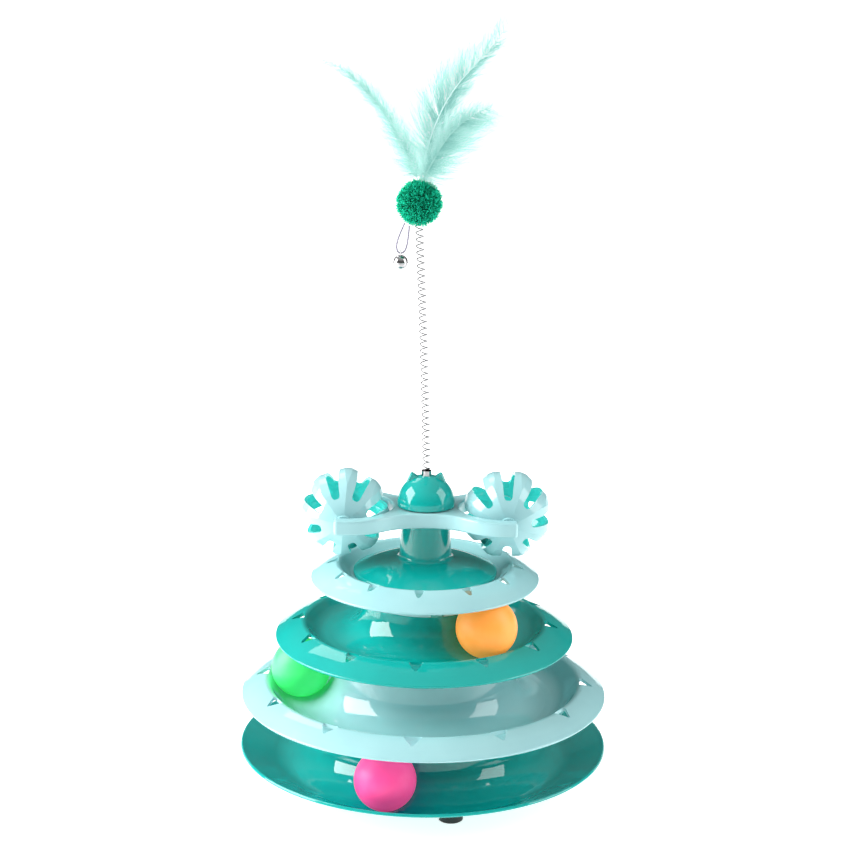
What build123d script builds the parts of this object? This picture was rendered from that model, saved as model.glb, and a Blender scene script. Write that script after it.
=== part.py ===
from build123d import *
from math import cos, hypot, pi, radians, sin, sqrt, tan
import os

# Cat ball track toy. Millimetres, +Z up. The origin is on the floor under the middle of the stack
# and the front of the toy is at -Y. Angles about Z are counted from +X, so the front is at -90.

# Mouldings and fits
WALL = 2.2  # plastic wall
EDGE_ROUND = 0.8  # rounding of a free plastic edge
PUSH_GAP = 0.2  # radial gap of a push fit
RUN_GAP = 0.08  # radial gap of a running fit
END_PLAY = 0.3  # gap at the end faces of turning pieces
LOOSE_GAP = 0.3  # gap around a loose or soft piece
CUT = 4.0  # overrun of every cut

# Track balls
BALL_D = 40.5
BALL_WALL = 1.0
BALL_SIDE_GAP = 0.7  # between a ball and the outer wall of its track
PINK_AT = 254.5
GREEN_AT = 180.0
ORANGE_AT = 310.2

# Form that the tracks share
TRACK_EASE = 1.75  # groove radius over ball radius
COLUMN_DRAFT = 10.0
FLOOR_ROUND = 12.0
CREST_ROUND = 4.0
FLANGE_DROP = 10.2  # from crest to rim
FLANGE_BULGE = 1.2
FLANGE_ROUND = 45.0

# Base track
FOOT_R = 8.2
FOOT_H = 5.0
FOOT_FLOOR = 2.0  # rubber under the stub
FOOT_COUNT = 4
FOOT_IN = 10.0  # from the middle of the track in to the ring of feet
FOOT_AT = -76.4
STUB_R = 7.2
STUB_SHOW = 3.3  # bare stub between rubber and base
STUB_ROOT = 4.0  # stub over the track floor, under the foot of the column
BASE_RIM_R = 125.5
BASE_RIM_RISE = 13.9
BASE_LIP = 1.5  # from the outer to the inner edge of the rim
BASE_TRACK_IN = 35.5  # from the rim in to the middle of the track
BASE_FLAT_OUT = 6.0  # from the middle of the track out to the end of the flat floor
BASE_FLAT_ROUND = 24.0

# Second track
TIER_2_STEP = 1.5  # from the base's rim in to this rim
TIER_2_TRACK_IN = 40.5
TIER_2_SLOPE = 55.0
TIER_2_CREST_RISE = 15.8
TIER_2_ROOF_GAP = 1.0  # between the ball below and this track

# Third track
TIER_3_STEP = 23.0  # from the second track's rim in to this rim
TIER_3_TRACK_IN = 38.0
TIER_3_SLOPE = 45.0
TIER_3_CREST_RISE = 9.1
TIER_3_ROOF_GAP = 4.6

# Top plate
TOP_STEP = 23.8  # from the third track's rim in to this rim
TOP_FLANGE = 18.7  # from rim to crest
TOP_ROOF_GAP = 6.8
TOP_SINK = 7.7  # from crest to the deck under the dome
TOP_SLOPE = 45.0
TOP_LEDGE_ROUND = 3.0
TOP_HOLE_R = 14.0

# Windows in the flanges
WINDOW_COUNT = 12
WINDOW_AT = -93.5
WINDOW_PLACE_SHARE = 0.73  # of the flange, from the rim
WINDOW_WIDTH_SHARE = 0.25  # of the window pitch
WINDOW_TALL_SHARE = 0.53  # of the flange
WINDOW_ROUND_SHARE = 0.14  # of the window's height

# Skirts, spigots and lugs that lock the tiers
SKIRT_DROP = 15.7
SPIGOT_GAP = 0.5  # between a spigot and the tier above
DECK_HOLE_SHARE = 0.4  # of the neck radius
WEB_LOW_SHARE = 0.9  # of the wall, below the track floor
WEB_HIGH_SHARE = 0.3
LUG_COUNT = 3
LUG_W = 8.0
LUG_H = 6.0
LUG_AT = -78.0

# Pedestal
DOME_GAP = 2.4  # between the dome and the slope around it
DOME_EDGE_H = 2.9
DOME_MID_SHARE = 0.5325  # of the way from post to edge
DOME_MID_H = 8.9
DOME_H = 11.5
DOME_ROUND_SHARE = 1.62  # of the way from post to edge
DOME_EDGE_ROUND = 1.6
COLLAR_SHARE = 0.5  # place of the ring under the dome on that way
COLLAR_H = 4.5
POST_BASE_R = 17.6
POST_TOP_R = 16.1
CAGE_DECK_GAP = 3.78  # between the cage balls and the top plate, which sets the post's height
POST_ROUND = 3.2
SPINDLE_R = 9.0

# Spinner arm
ARM_T = 10.0
ARM_EDGE = 1.5
ARM_WAIST_Y = 21.5
ARM_WAIST_SHARE = 0.28  # of the axle distance
ARM_SHOULDER_SHARE = 0.74
ARM_BEND_ROUND = 36.0
ARM_TIP_ROUND = 2.5
CAGE_HUB_GAP = 4.18  # between a cage ball and the hub, which sets the axle's place
FORK_CLEAR = 1.5  # between fork and cage ridge
FORK_BAR = 8.5
FORK_TIP = 6.0
PIN_R = 2.2
PIN_LONG = 8.0
HUB_GAP = 0.8  # between arm and hub cap

# Cage balls
CAGE_R = 28.2  # middle of the axle to a flat
CAGE_SIDES = 8
CAGE_CROWN_SHARE = 0.6  # of the way from flat to ridge, where the ridges are rounded off
CAGE_BOSS_R = 5.5
CAGE_BOSS_LONG = 9.0
CAGE_LEFT_TURN = 18.0
CAGE_RIGHT_TURN = 0.0
SLOT_WIDE = 10.4
SLOT_END_WIDE = 5.3
SLOT_REACH_SHARE = 0.83  # of the cage radius, along the axle
SLOT_WAIST_ROUND = 30.0
SLOT_EDGE = 0.6

# Jingle bells
CAGE_BELL_R = 9.0
CAGE_BELL_LEFT_AT = -83.0
CAGE_BELL_RIGHT_AT = -124.0
HANG_BELL_R = 4.75
BELL_WALL_SHARE = 0.07
BELL_SLOT_SHARE = 0.16
BELL_HOLE_SHARE = 0.17
BELL_HOLE_LEAN = 55.0
BELL_BEAD_SHARE = 0.06
BELL_EYE_SHARE = 0.33
BELL_EYE_WIRE_SHARE = 0.075
PELLET_SHARE = 0.32

# Hub cap, screw and ferrule
HUB_R = 19.3
HUB_SKIRT = 1.2
HUB_BOSS_R = 5.6
EAR_INNER_X = 2.8
EAR_TIP_X = 10.1
EAR_OUTER_X = 15.4
EAR_SINK = 2.2
EAR_TALL = 2.4  # tip over the top of the hub
EAR_HALF_T = 3.2
EAR_TAPER = 14.0
EAR_ROUND = 1.2
SCREW_D = 3.0
SCREW_LONG = 10.0
SCREW_HEAD_R = 2.9
SCREW_HEAD_H = 2.0
SCREW_CROSS_W = 0.9
SCREW_CROSS_LONG = 3.6
SCREW_CROSS_DEEP = 1.1
FERRULE_WALL = 0.45
FERRULE_FLOOR = 1.0
FERRULE_SUNK = 6.0
FERRULE_SHOW = 3.0

# Coil spring
SPRING_D = 5.5
SPRING_WIRE = 0.7
SPRING_PITCH = 4.35
SPRING_TURNS = 40
SPRING_LEAN = 7.0
SPRING_LEAN_POWER = 1.3

# Pompom and feathers
POMPOM_R = 15.5
POMPOM_GRIP = 3.0  # spring inside the pompom
QUILL_R = 0.6
QUILL_STEP = 1.6
QUILL_SUNK = 4.0
SOCKET_R = 2.6
VANE_T = 0.8
LEFT_TIP_X = -70.5
LEFT_TIP_UP = 90.0
LEFT_BOW = 11.0
LEFT_WIDE = 9.0
TALL_TIP_X = 48.0
TALL_TIP_UP = 115.0
TALL_BOW = 11.0
TALL_WIDE = 24.0
SHORT_TIP_X = 40.0
SHORT_TIP_UP = 64.0
SHORT_BOW = 8.0
SHORT_WIDE = 18.0
VANE_START_SHARE = 0.14

# Bell cord, a loop in the XZ plane from the pompom through the bell's eye
CORD_D = 1.0
CORD_Y = -3.0
CORD_TOP_OUT = 9.3
CORD_TOP_IN = 6.3
CORD_WIDE_OUT = 14.6
CORD_WIDE_IN = 6.9
CORD_WIDE_DOWN = 24.5
CORD_FOLD_HALF = 2.5
CORD_LOW_DOWN = 32.4
CORD_ROUND = 5.0
CORD_FOLD_ROUND = 1.6
BELL_OUT = 11.6

# Worked out from the sizes above
BALL_R = BALL_D / 2
BASE_TRACK_R = BASE_RIM_R - BASE_TRACK_IN
BASE_FLAT_R = BASE_TRACK_R + BASE_FLAT_OUT
FOOT_RING_R = BASE_TRACK_R - FOOT_IN
TIER_2_RIM_R = BASE_RIM_R - TIER_2_STEP
TIER_2_TRACK_R = TIER_2_RIM_R - TIER_2_TRACK_IN
TIER_3_RIM_R = TIER_2_RIM_R - TIER_3_STEP
TIER_3_TRACK_R = TIER_3_RIM_R - TIER_3_TRACK_IN
TOP_RIM_R = TIER_3_RIM_R - TOP_STEP
TOP_CREST_R = TOP_RIM_R - TOP_FLANGE
TOP_LEDGE_R = TOP_CREST_R - TOP_SINK / tan(radians(TOP_SLOPE))
DOME_R = TOP_LEDGE_R - DOME_GAP
DOME_WAY = DOME_R - POST_BASE_R
DOME_MID_R = POST_BASE_R + DOME_WAY * DOME_MID_SHARE
COLLAR_R = POST_BASE_R + DOME_WAY * COLLAR_SHARE
CAGE_RIDGE_R = CAGE_R / cos(pi / CAGE_SIDES)
TRACK_ROUND = BALL_R + TRACK_EASE
BASE_FLOOR_Z = FOOT_H + STUB_SHOW + WALL
TIER_2_FLOOR_Z = BASE_FLOOR_Z + BALL_D + TIER_2_ROOF_GAP + WALL
TIER_3_FLOOR_Z = TIER_2_FLOOR_Z + BALL_D + TIER_3_ROOF_GAP + WALL
TOP_CREST_Z = TIER_3_FLOOR_Z + BALL_D + TOP_ROOF_GAP + WALL
TOP_DECK_Z = TOP_CREST_Z - TOP_SINK
AXLE_Z = TOP_CREST_Z + CAGE_DECK_GAP + CAGE_RIDGE_R
ARM_Z = AXLE_Z - ARM_T / 2
POST_TOP_Z = ARM_Z - END_PLAY
SPINDLE_TOP_Z = ARM_Z + ARM_T + HUB_GAP
HUB_MID_Z = SPINDLE_TOP_Z + HUB_SKIRT
HUB_TOP_Z = HUB_MID_Z + HUB_R
FERRULE_Z = HUB_TOP_Z - FERRULE_SUNK
FERRULE_BORE_R = SPRING_D / 2 + PUSH_GAP
FERRULE_R = FERRULE_BORE_R + FERRULE_WALL
SPRING_Z = FERRULE_Z + FERRULE_FLOOR
SPRING_TOP_Z = SPRING_Z + SPRING_TURNS * SPRING_PITCH
SPRING_FREE_Z = HUB_TOP_Z + FERRULE_SHOW
POMPOM_X = -SPRING_LEAN
POMPOM_Z = SPRING_TOP_Z - POMPOM_GRIP + POMPOM_R
SOCKET_Z = POMPOM_Z + sqrt(POMPOM_R**2 - SOCKET_R**2) - QUILL_SUNK
FORK_X = HUB_R + CAGE_HUB_GAP + CAGE_RIDGE_R
FORK_R = CAGE_RIDGE_R + FORK_CLEAR
CAGE_HALF_LONG = sqrt(FORK_R**2 - CAGE_BOSS_R**2) - END_PLAY


def disc(radius, low_z, high_z):
    """Solid cylinder about Z between two heights."""
    return Pos(0, 0, low_z) * Cylinder(radius, high_z - low_z, align=(Align.CENTER, Align.CENTER, Align.MIN))


def tube(outer_r, inner_r, low_z, high_z):
    """Ring about Z between two heights."""
    return disc(outer_r, low_z, high_z) - disc(inner_r, low_z - CUT, high_z + CUT)


def wall_profile(points, rounds):
    """Face of a wall in the XZ plane: a filleted line and its parallel, one wall to its left."""
    steps = [(b[0] - a[0], b[1] - a[1]) for a, b in zip(points, points[1:])]
    ways = [(x / hypot(x, z), z / hypot(x, z)) for x, z in steps]
    first, last = ways[0], ways[-1]
    inner = [(points[0][0] - first[1] * WALL, points[0][1] + first[0] * WALL)]
    inner_rounds = []
    for point, before, after, bend in zip(points[1:], ways, ways[1:], rounds):
        reach = WALL / (1 + before[0] * after[0] + before[1] * after[1])
        inner.append((point[0] - (before[1] + after[1]) * reach, point[1] + (before[0] + after[0]) * reach))
        left_turn = before[0] * after[1] - before[1] * after[0] > 0
        inner_bend = max(bend - WALL, 0) if left_turn else bend + WALL
        inner_rounds.append(inner_bend if bend else 0)
    inner.append((points[-1][0] - last[1] * WALL, points[-1][1] + last[0] * WALL))
    loop = points + inner[::-1]
    bends = [EDGE_ROUND, *rounds, EDGE_ROUND, EDGE_ROUND, *inner_rounds[::-1], EDGE_ROUND]
    line = FilletPolyline(*[(x, 0, z) for x, z in loop], radius=bends, close=True)
    return make_face(line)


def neck_radius(track_r, floor_z, next_floor_z):
    """Outer radius of a track's column at its shoulder."""
    foot_r = track_r - TRACK_ROUND * tan(radians(90 - COLUMN_DRAFT) / 2)
    return foot_r - (shoulder_height(next_floor_z) - floor_z) * tan(radians(COLUMN_DRAFT))


def shoulder_height(next_floor_z):
    """Height of the shoulder that the next tier's skirt stands on."""
    return next_floor_z - WALL - SKIRT_DROP


def column_line(track_r, floor_z, next_floor_z):
    """Points and roundings from the track floor up the column to the hole in its deck."""
    foot_r = track_r - TRACK_ROUND * tan(radians(90 - COLUMN_DRAFT) / 2)
    neck_r = neck_radius(track_r, floor_z, next_floor_z)
    spigot_r = neck_r - WALL - PUSH_GAP
    shoulder_z = shoulder_height(next_floor_z)
    deck_z = next_floor_z - WALL - SPIGOT_GAP
    points = [(foot_r, floor_z), (neck_r, shoulder_z), (spigot_r, shoulder_z), (spigot_r, deck_z)]
    points.append((neck_r * DECK_HOLE_SHARE, deck_z))
    return points, [TRACK_ROUND, EDGE_ROUND, 0, EDGE_ROUND]


def flange_line(rim_r, crest_r, crest_z):
    """Points and roundings from the drooping rim up to the crest."""
    rim_z = crest_z - FLANGE_DROP
    middle = ((rim_r + crest_r) / 2, (rim_z + crest_z) / 2 + FLANGE_BULGE)
    return [(rim_r, rim_z), middle, (crest_r, crest_z)], [FLANGE_ROUND, CREST_ROUND]


def lug_blocks(side_gap, radius, low_z, high_z):
    """Blocks at the lug places, from the axis out to a radius."""
    block = Pos(radius / 2, 0, (low_z + high_z) / 2) * Box(radius, LUG_W + 2 * side_gap, high_z - low_z)
    return [Rot(Z=LUG_AT + 360 / LUG_COUNT * k) * block for k in range(LUG_COUNT)]


def with_lugs(body, track_r, floor_z, next_floor_z):
    """Add the lugs on the spigot that key the next tier."""
    neck_r = neck_radius(track_r, floor_z, next_floor_z)
    shoulder_z = shoulder_height(next_floor_z)
    ring = tube(neck_r, neck_r - WALL - PUSH_GAP - WALL / 2, shoulder_z - WALL / 2, shoulder_z + LUG_H)
    for block in lug_blocks(0, neck_r + CUT, shoulder_z - WALL, shoulder_z + LUG_H):
        body += ring & block
    return body


def with_skirt(body, track_r, floor_z, neck_r):
    """Add the web and the notched skirt that stand on the column of the tier below."""
    web_z = floor_z - WALL * WEB_HIGH_SHARE
    low_z = shoulder_height(floor_z)
    skirt = tube(neck_r, neck_r - WALL, low_z, web_z)
    for block in lug_blocks(PUSH_GAP, neck_r + CUT, low_z - CUT, low_z + LUG_H + PUSH_GAP):
        skirt -= block
    return body + tube(track_r, neck_r - WALL, floor_z - WALL * WEB_LOW_SHARE, web_z) + skirt


def with_windows(body, rim_r, crest_r, crest_z):
    """Cut the ring of rounded triangles, points outward, through a flange."""
    flange = rim_r - crest_r
    place = rim_r - flange * WINDOW_PLACE_SHARE
    wide = 2 * pi * place / WINDOW_COUNT * WINDOW_WIDTH_SHARE
    tall = flange * WINDOW_TALL_SHARE
    corners = [(-tall / 2, -wide / 2), (tall / 2, 0), (-tall / 2, wide / 2)]
    outline = make_face(FilletPolyline(*corners, radius=tall * WINDOW_ROUND_SHARE, close=True))
    prism = Pos(place, 0, crest_z - FLANGE_DROP - CUT) * extrude(outline, FLANGE_DROP + 2 * CUT)
    for k in range(WINDOW_COUNT):
        body -= Rot(Z=WINDOW_AT + 360 / WINDOW_COUNT * k) * prism
    return body


def foot_places():
    """Places of the feet under the base."""
    return [Rot(Z=FOOT_AT + 360 / FOOT_COUNT * k) * Pos(FOOT_RING_R, 0, 0) for k in range(FOOT_COUNT)]


def under_floor(foot, neck):
    """Space under the middle of the base's wall, which the stubs reach up into."""
    low_z = foot[1] - WALL / 2
    corners = [(BASE_FLAT_R, 0), (BASE_FLAT_R, low_z), (foot[0], low_z), (neck[0], neck[1]), (0, neck[1]), (0, 0)]
    bends = [0, 0, TRACK_ROUND + WALL / 2, 0, 0, 0]
    line = FilletPolyline(*[(x, 0, z) for x, z in corners], radius=bends, close=True)
    return revolve(make_face(line), axis=Axis.Z)


def base_track():
    """Lowest track: shallow dish, column, spigot and the stubs of the feet."""
    points = [(BASE_RIM_R - BASE_LIP, BASE_FLOOR_Z + BASE_RIM_RISE), (BASE_FLAT_R, BASE_FLOOR_Z)]
    column, column_rounds = column_line(BASE_TRACK_R, BASE_FLOOR_Z, TIER_2_FLOOR_Z)
    rounds = [BASE_FLAT_ROUND, *column_rounds]
    body = revolve(wall_profile(points + column, rounds), axis=Axis.Z)
    space = under_floor(*column[:2])
    for place in foot_places():
        body += place * Rot(Z=45) * disc(STUB_R, FOOT_FLOOR, BASE_FLOOR_Z + STUB_ROOT) & space
    return with_lugs(body, BASE_TRACK_R, BASE_FLOOR_Z, TIER_2_FLOOR_Z)


def rubber_foot(place):
    """Rubber cup pushed on a stub of the base."""
    cup = disc(FOOT_R, 0, FOOT_H)
    cup = fillet(cup.edges().filter_by(GeomType.CIRCLE), EDGE_ROUND)
    return place * (cup - disc(STUB_R + RUN_GAP, FOOT_FLOOR, FOOT_H + CUT))


def ball_track(rim_r, track_r, slope, crest_rise, floor_z, next_floor_z, below_neck_r):
    """Middle track: drooping flange with windows, groove, column with spigot, and a skirt."""
    lean = radians(slope)
    wall_foot_r = track_r + (BALL_R * (1 - cos(lean)) + BALL_SIDE_GAP) / sin(lean)
    crest_r = wall_foot_r + crest_rise / tan(lean)
    crest_z = floor_z + crest_rise
    flange, flange_rounds = flange_line(rim_r, crest_r, crest_z)
    column, column_rounds = column_line(track_r, floor_z, next_floor_z)
    points = [*flange, (wall_foot_r, floor_z), *column]
    rounds = [*flange_rounds, FLOOR_ROUND, *column_rounds]
    body = revolve(wall_profile(points, rounds), axis=Axis.Z)
    body = with_windows(body, rim_r, crest_r, crest_z)
    body = with_lugs(body, track_r, floor_z, next_floor_z)
    return with_skirt(body, track_r, floor_z, below_neck_r)


def second_track():
    """Second track, on the base."""
    below_neck_r = neck_radius(BASE_TRACK_R, BASE_FLOOR_Z, TIER_2_FLOOR_Z)
    form = (TIER_2_RIM_R, TIER_2_TRACK_R, TIER_2_SLOPE, TIER_2_CREST_RISE)
    return ball_track(*form, TIER_2_FLOOR_Z, TIER_3_FLOOR_Z, below_neck_r)


def third_track():
    """Third track, on the second."""
    below_neck_r = neck_radius(TIER_2_TRACK_R, TIER_2_FLOOR_Z, TIER_3_FLOOR_Z)
    form = (TIER_3_RIM_R, TIER_3_TRACK_R, TIER_3_SLOPE, TIER_3_CREST_RISE)
    return ball_track(*form, TIER_3_FLOOR_Z, TOP_DECK_Z, below_neck_r)


def top_plate():
    """Roof of the third track, with the deck and ring that the pedestal stands on."""
    flange, flange_rounds = flange_line(TOP_RIM_R, TOP_CREST_R, TOP_CREST_Z)
    points = [*flange, (TOP_LEDGE_R, TOP_DECK_Z), (TOP_HOLE_R, TOP_DECK_Z)]
    body = revolve(wall_profile(points, [*flange_rounds, TOP_LEDGE_ROUND]), axis=Axis.Z)
    body = with_windows(body, TOP_RIM_R, TOP_CREST_R, TOP_CREST_Z)
    below_neck_r = neck_radius(TIER_3_TRACK_R, TIER_3_FLOOR_Z, TOP_DECK_Z)
    body += tube(COLLAR_R - PUSH_GAP, COLLAR_R - PUSH_GAP - WALL, TOP_DECK_Z - WALL / 2, TOP_DECK_Z + COLLAR_H)
    low_z = shoulder_height(TOP_DECK_Z)
    skirt = tube(below_neck_r, below_neck_r - WALL, low_z, TOP_DECK_Z - WALL * WEB_HIGH_SHARE)
    for block in lug_blocks(PUSH_GAP, below_neck_r + CUT, low_z - CUT, low_z + LUG_H + PUSH_GAP):
        skirt -= block
    return body + skirt


def pedestal():
    """Shallow dome and hollow post in one moulding, with the spindle that the arm turns on."""
    points = [(DOME_R, TOP_DECK_Z), (DOME_R, TOP_DECK_Z + DOME_EDGE_H), (DOME_MID_R, TOP_DECK_Z + DOME_MID_H)]
    points += [(POST_BASE_R, TOP_DECK_Z + DOME_H), (POST_TOP_R, POST_TOP_Z), (SPINDLE_R, POST_TOP_Z)]
    points += [(SPINDLE_R, SPINDLE_TOP_Z), (SCREW_D / 2 + PUSH_GAP, SPINDLE_TOP_Z)]
    rounds = [DOME_EDGE_ROUND, DOME_WAY * DOME_ROUND_SHARE, POST_ROUND, EDGE_ROUND, 0, EDGE_ROUND]
    body = revolve(wall_profile(points, rounds), axis=Axis.Z)
    return body + tube(COLLAR_R + WALL, COLLAR_R, TOP_DECK_Z + PUSH_GAP, TOP_DECK_Z + DOME_MID_H - WALL / 2)


def spinner_arm():
    """Double fork that turns on the spindle, with the stub pins of the cage balls."""
    tip_x, tip_y = FORK_X + FORK_TIP, FORK_R + FORK_BAR
    side = [(tip_x, tip_y), (FORK_X * ARM_SHOULDER_SHARE, tip_y), (FORK_X * ARM_WAIST_SHARE, ARM_WAIST_Y)]
    side += [(-x, y) for x, y in side[::-1]]
    bends = [ARM_TIP_ROUND, ARM_BEND_ROUND, ARM_BEND_ROUND, ARM_BEND_ROUND, ARM_BEND_ROUND, ARM_TIP_ROUND]
    outline = side + [(x, -y) for x, y in side[::-1]]
    plan = make_face(FilletPolyline(*outline, radius=bends + bends, close=True))
    for x in (-FORK_X, FORK_X):
        mouth = FORK_TIP + CUT
        plan -= Pos(x, 0) * Circle(FORK_R)
        plan -= Pos(x + (mouth / 2 if x > 0 else -mouth / 2), 0) * Rectangle(mouth, 2 * FORK_R)
    body = Pos(0, 0, ARM_Z) * extrude(plan, ARM_T)
    ends = body.edges().group_by(Axis.Z)
    body = fillet([*ends[0], *ends[-1]], ARM_EDGE)
    body -= disc(SPINDLE_R + RUN_GAP, ARM_Z - CUT, ARM_Z + ARM_T + CUT)
    for x in (-FORK_X, FORK_X):
        for turn in (90, -90):
            body += Pos(x, 0, AXLE_Z) * Rot(X=turn) * disc(PIN_R, FORK_R - PIN_LONG, FORK_R + FORK_BAR / 2)
    return body


def vault(radius):
    """Ball of barrel-shaped sides about Z."""
    body = None
    for k in range(CAGE_SIDES // 2):
        barrel = Rot(Z=360 / CAGE_SIDES * k) * Rot(X=90) * Cylinder(radius, 4 * radius)
        body = barrel if body is None else body & barrel
    return body


def cage_slots():
    """Prisms through the middle of each side, along the axle and narrower at the ends."""
    end_z = CAGE_R * SLOT_REACH_SHARE
    corners = [(SLOT_WIDE / 2, 0), (SLOT_END_WIDE / 2, end_z), (-SLOT_END_WIDE / 2, end_z)]
    corners += [(-x, -y) for x, y in corners]
    tip = SLOT_END_WIDE / 2 - SLOT_EDGE
    line = FilletPolyline(*corners, radius=[SLOT_WAIST_ROUND, tip, tip] * 2, close=True)
    prism = extrude(Plane.YZ * make_face(line), CAGE_RIDGE_R + CUT)
    return [Rot(Z=360 / CAGE_SIDES * k) * prism for k in range(CAGE_SIDES)]


def cage_halves(x, turn):
    """Two half shells of a cage ball, split through two slots, about an axle along Y."""
    crown = Sphere(CAGE_R + (CAGE_RIDGE_R - CAGE_R) * CAGE_CROWN_SHARE)
    body = (vault(CAGE_R) & crown) - vault(CAGE_R - WALL)
    for slot in cage_slots():
        body -= slot
    for tilt in (0, 180):
        body += Rot(X=tilt) * disc(CAGE_BOSS_R, CAGE_HALF_LONG - CAGE_BOSS_LONG, CAGE_HALF_LONG)
    body -= disc(PIN_R + RUN_GAP, -CAGE_HALF_LONG - CUT, CAGE_HALF_LONG + CUT)
    place = Pos(x, 0, AXLE_Z) * Rot(Y=-turn) * Rot(X=90)
    seam = Plane.XZ.rotated((0, 0, 360 / CAGE_SIDES))
    return [place * split(body, bisect_by=seam, keep=side) for side in (Keep.TOP, Keep.BOTTOM)]


def jingle_bell(radius):
    """Thin ball with a slot and two holes below, a seam bead and an eye above; middle at the origin."""
    wire = radius * BELL_EYE_WIRE_SHARE
    eye = radius * BELL_EYE_SHARE
    body = Rot(X=45) * Sphere(radius) + Torus(radius, radius * BELL_BEAD_SHARE)
    body += Pos(0, 0, radius + eye - wire) * Rot(Y=90) * Torus(eye, wire)
    body -= Rot(X=45) * Sphere(radius * (1 - BELL_WALL_SHARE))
    low = Pos(0, 0, -radius) * Box(2 * radius * sin(radians(BELL_HOLE_LEAN)), radius * BELL_SLOT_SHARE, radius)
    body -= low
    for lean in (-BELL_HOLE_LEAN, BELL_HOLE_LEAN):
        body -= Rot(Y=180 + lean) * disc(radius * BELL_HOLE_SHARE, radius / 2, radius + CUT)
    return body


def pellet(radius):
    """Loose ball that lies in a bell of the given radius; the bell's middle at the origin."""
    size = radius * PELLET_SHARE
    return Pos(0, 0, size + LOOSE_GAP - radius * (1 - BELL_WALL_SHARE)) * Sphere(size)


def cage_bell_place(x, at):
    """Place of a bell that lies against the inside of its cage ball, eye towards the axle."""
    swing = hypot(CAGE_R - WALL, SLOT_WIDE / 2) - CAGE_BELL_R - LOOSE_GAP
    return Pos(x, 0, AXLE_Z) * Rot(Y=-90 - at) * Pos(0, 0, -swing)


def hub_cap():
    """Domed knob with two ears, a screw boss below and the ferrule's hole above."""
    low_z = SPINDLE_TOP_Z
    cut_away = disc(HUB_R + CUT, low_z - HUB_R - CUT, low_z)
    body = Pos(0, 0, HUB_MID_Z) * Sphere(HUB_R) + disc(HUB_R, low_z, HUB_MID_Z)
    for side in (-1, 1):
        body += hub_ear(side)
    body -= Pos(0, 0, HUB_MID_Z) * Sphere(HUB_R - WALL) + disc(HUB_R - WALL, low_z - CUT, HUB_MID_Z)
    body += disc(HUB_BOSS_R, low_z, HUB_TOP_Z - WALL)
    body -= cut_away
    body -= disc(FERRULE_R + RUN_GAP, FERRULE_Z, HUB_TOP_Z + CUT)
    return body - disc(SCREW_D / 2 + RUN_GAP, low_z - CUT, low_z + SCREW_LONG)


def hub_ear(side):
    """Pointed ear on the hub, thinner towards its front and back."""
    feet = [(x, HUB_MID_Z + sqrt(HUB_R**2 - x**2) - EAR_SINK) for x in (EAR_INNER_X, EAR_OUTER_X)]
    corners = [feet[0], feet[1], (EAR_TIP_X, HUB_TOP_Z + EAR_TALL)]
    line = FilletPolyline(*[(side * x, z) for x, z in corners], radius=EAR_ROUND, close=True)
    return extrude(Plane.XZ * make_face(line), EAR_HALF_T, both=True, taper=EAR_TAPER)


def hub_screw():
    """Pan head screw up through the spindle into the hub's boss."""
    head_z = SPINDLE_TOP_Z - WALL
    body = disc(SCREW_HEAD_R, head_z - SCREW_HEAD_H, head_z)
    body = fillet(body.edges().group_by(Axis.Z)[0], EDGE_ROUND)
    body += disc(SCREW_D / 2, head_z, head_z + SCREW_LONG)
    for turn in (0, 90):
        slot = Box(SCREW_CROSS_LONG, SCREW_CROSS_W, 2 * SCREW_CROSS_DEEP)
        body -= Pos(0, 0, head_z - SCREW_HEAD_H) * Rot(Z=turn) * slot
    return body


def spring_ferrule():
    """Metal cup in the hub that holds the foot of the spring."""
    return disc(FERRULE_R, FERRULE_Z, SPRING_FREE_Z) - disc(FERRULE_BORE_R, SPRING_Z, SPRING_FREE_Z + CUT)


def coil_point(turn):
    """Point of the spring's wire after a number of turns, and the wire's direction there."""
    coil_r = (SPRING_D - SPRING_WIRE) / 2
    z = SPRING_Z + SPRING_WIRE + turn * (SPRING_TOP_Z - SPRING_Z - 2 * SPRING_WIRE) / SPRING_TURNS
    rise = (SPRING_TOP_Z - SPRING_Z - 2 * SPRING_WIRE) / SPRING_TURNS
    span = SPRING_TOP_Z - SPRING_FREE_Z
    share = max(z - SPRING_FREE_Z, 0) / span
    lean = -SPRING_LEAN * share**SPRING_LEAN_POWER
    slope = -SPRING_LEAN * SPRING_LEAN_POWER * share ** (SPRING_LEAN_POWER - 1) / span * rise
    angle = 2 * pi * turn
    point = Vector(lean + coil_r * cos(angle), coil_r * sin(angle), z)
    way = Vector(slope - 2 * pi * coil_r * sin(angle), 2 * pi * coil_r * cos(angle), rise)
    return point, way.normalized()


def biarc(start, start_way, end, end_way):
    """Two tangent arcs that join two points in given directions."""
    span = end - start
    both = start_way + end_way
    turn = 2 * (1 - start_way.dot(end_way))
    reach = (sqrt(span.dot(both) ** 2 + turn * span.dot(span)) - span.dot(both)) / turn
    middle = (start + end + (start_way - end_way) * reach) * 0.5
    middle_way = ((end - end_way * reach) - (start + start_way * reach)).normalized()
    first = Edge.make_tangent_arc(start, start_way, middle)
    return [first, Edge.make_tangent_arc(middle, middle_way, end)]


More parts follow.
